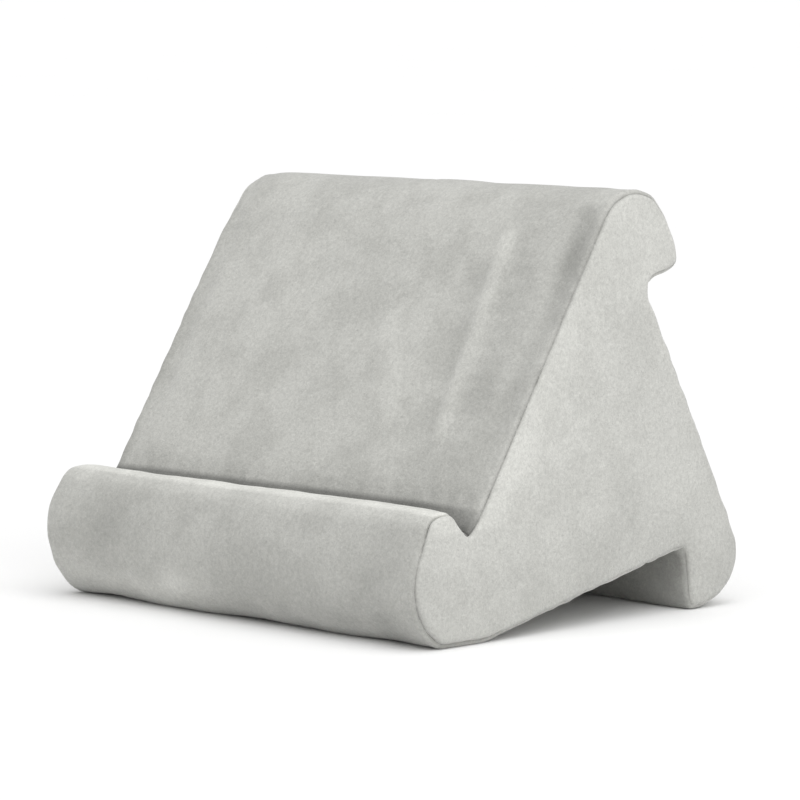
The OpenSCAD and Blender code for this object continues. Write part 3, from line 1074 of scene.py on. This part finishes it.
# Stitches: two long rows and two short ends. Each stitch is a short arch of thread on the plush,
# given by its share of the stitch's length and its height.
stitch_l = 3.0
stitch_pitch = 3.8
thread_r = 0.28
stitch_arch = [
    (-0.5, -0.45), (-0.42, -0.05), (-0.25, 0.15), (0, 0.22), (0.25, 0.15), (0.42, -0.05), (0.5, -0.45),
]
row_off = slot_half_w + 2.6
end_off = slot_half_l + 3.0
skin_in_zip = in_zip_frame(skin)
skin_in_zip = skin_in_zip[np.abs(skin_in_zip[:, 2]) < 6]


def skin_height(x, y):
    """How far in the zip's frame the cover's outer face lies at x and y."""
    gap = np.hypot(skin_in_zip[:, 0] - x, skin_in_zip[:, 1] - y)
    near = np.argsort(gap)[:4]
    return np.average(skin_in_zip[near, 2], weights=1 / (gap[near] + 0.1))


stitches = []
for start, end in (
    ((-end_off, row_off), (end_off, row_off)),
    ((-end_off, -row_off), (end_off, -row_off)),
    ((-end_off, -row_off), (-end_off, row_off)),
    ((end_off, -row_off), (end_off, row_off)),
):
    start, end = np.array(start), np.array(end)
    length = np.linalg.norm(end - start)
    way = (end - start) / length
    for k in range(int(length / stitch_pitch)):
        middle = start + way * (k + 0.5) * stitch_pitch
        path = []
        for share, lift in stitch_arch:
            x, y = middle + way * share * stitch_l
            path.append((x, y, skin_height(x, y) - lift))
        stitches.append(tube(path, thread_r))
thread_points, thread_faces = joined(stitches)
thread = place_mesh("zip_stitching", from_zip_frame(thread_points), thread_faces, tape_cloth)
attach(thread, "stand")


# ---- Zip: slider, pull tab and stops -------------------------------------------------
# The slider and its pull tab are cast in zinc and plated with nickel, and the stops are
# crimped on from the same metal. Casting leaves every edge a little round.

def plated_zinc():
    """Nickel plate over cast zinc: a bright warm-grey metal with fine rubbing marks."""
    material, tree, place = new_material("nickel_plated_zinc")
    rubbed = noise(tree, place, 1.5, Detail=5.0, Roughness=0.7)
    coat(tree, {
        "Base Color": blend(tree, rubbed, linear("#b4b2ad"), linear("#d6d4ce")),
        "Normal": bumps(tree, rubbed, 0.03, 0.4),
        "Roughness": ranged(tree, rubbed, (0.3, 0.7), (0.22, 0.42)),
        "Metallic": 1.0,
    })
    return material


cast_edge = 0.15
merge_gap = 0.002
flat_angle = math.radians(1)
sharp_angle = math.radians(40)
zinc = plated_zinc()


def cast_piece(name, node, body):
    """A node's solid with its sharp edges rounded, as a casting's are."""
    piece = solid_of(node, name, zinc)
    shape = bmesh.new()
    shape.from_mesh(piece.data)
    bmesh.ops.remove_doubles(shape, verts=shape.verts, dist=merge_gap * MM)
    bmesh.ops.dissolve_limit(
        shape, angle_limit=flat_angle, verts=shape.verts, edges=shape.edges,
    )
    shape.to_mesh(piece.data)
    shape.free()
    bevel = piece.modifiers.new("cast_edges", "BEVEL")
    bevel.width = cast_edge * MM
    bevel.segments = 2
    bevel.limit_method = "ANGLE"
    bevel.angle_limit = sharp_angle
    bevel.use_clamp_overlap = True
    settle(piece)
    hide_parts(node)
    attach(piece, body)


cast_piece("slider", "zip_slider", "slider")
cast_piece("pull", "zip_pull_tab", "pull_tab")
cast_piece("top_stops", "zip_top_stops", "stand")
cast_piece("bottom_stop", "zip_bottom_stop", "stand")


# ---- Floor, lights and camera --------------------------------------------------------
# The stand is on a wide sheet of pale card in a white studio, under a broad light from
# above and a weaker soft box at its right. A long lens looks at its front right corner.

floor_half = 200000
floor_drop = 0.2


def floor_material():
    """A plain pale sheet of card, very slightly uneven in tone."""
    material, tree, place = new_material("pale_card")
    unevenness = noise(tree, place, 400)
    coat(tree, {
        "Base Color": blend(tree, unevenness, linear("#ffffff"), linear("#fbfbfb")),
        "Roughness": 0.9,
        "Specular IOR Level": 0.1,
    })
    return material


corner_signs = [(-1, -1), (1, -1), (1, 1), (-1, 1)]
floor_points = [(x * floor_half, y * floor_half, -floor_drop) for x, y in corner_signs]
place_mesh("floor", floor_points, [(0, 1, 2, 3)], floor_material())

world = bpy.data.worlds.new("white_studio")
world.use_nodes = True
world.node_tree.nodes["Background"].inputs["Color"].default_value = linear("#ffffff")
world.node_tree.nodes["Background"].inputs["Strength"].default_value = 0.6
bpy.context.scene.world = world
bpy.context.scene.view_settings.view_transform = "Standard"


def aim(name, holds, target, azimuth, elevation, distance):
    """Puts a lamp or camera at a distance from its target, facing it. Angles are in degrees."""
    turn = math.radians(azimuth)
    lift = math.radians(elevation)
    way = Vector((math.sin(turn) * math.cos(lift), -math.cos(turn) * math.cos(lift), math.sin(lift)))
    holder = bpy.data.objects.new(name, holds)
    holder.location = target + way * distance
    holder.rotation_euler = way.to_track_quat("Z", "Y").to_euler()
    bpy.context.scene.collection.objects.link(holder)
    return holder


stand_middle = (Vector(cad_box[0]) + Vector(cad_box[1])) / 2
overhead = bpy.data.lights.new("overhead", "SUN")
overhead.energy = 1.5
overhead.angle = math.radians(70)
aim("overhead", overhead, stand_middle, 60, 68, 2.0)
side_box = bpy.data.lights.new("side_box", "AREA")
side_box.size = 1.0
side_box.energy = 3.0
aim("side_box", side_box, stand_middle, 95, 25, 1.8)

view_azimuth = 45.42
view_elevation = 5.89
view_distance = 2.321
view_target = Vector((0.0036, 0.0029, 0.1104))
long_lens = bpy.data.cameras.new("camera")
long_lens.sensor_width = 36
long_lens.lens = 189.9
bpy.context.scene.camera = aim(
    "camera", long_lens, view_target, view_azimuth, view_elevation, view_distance,
)
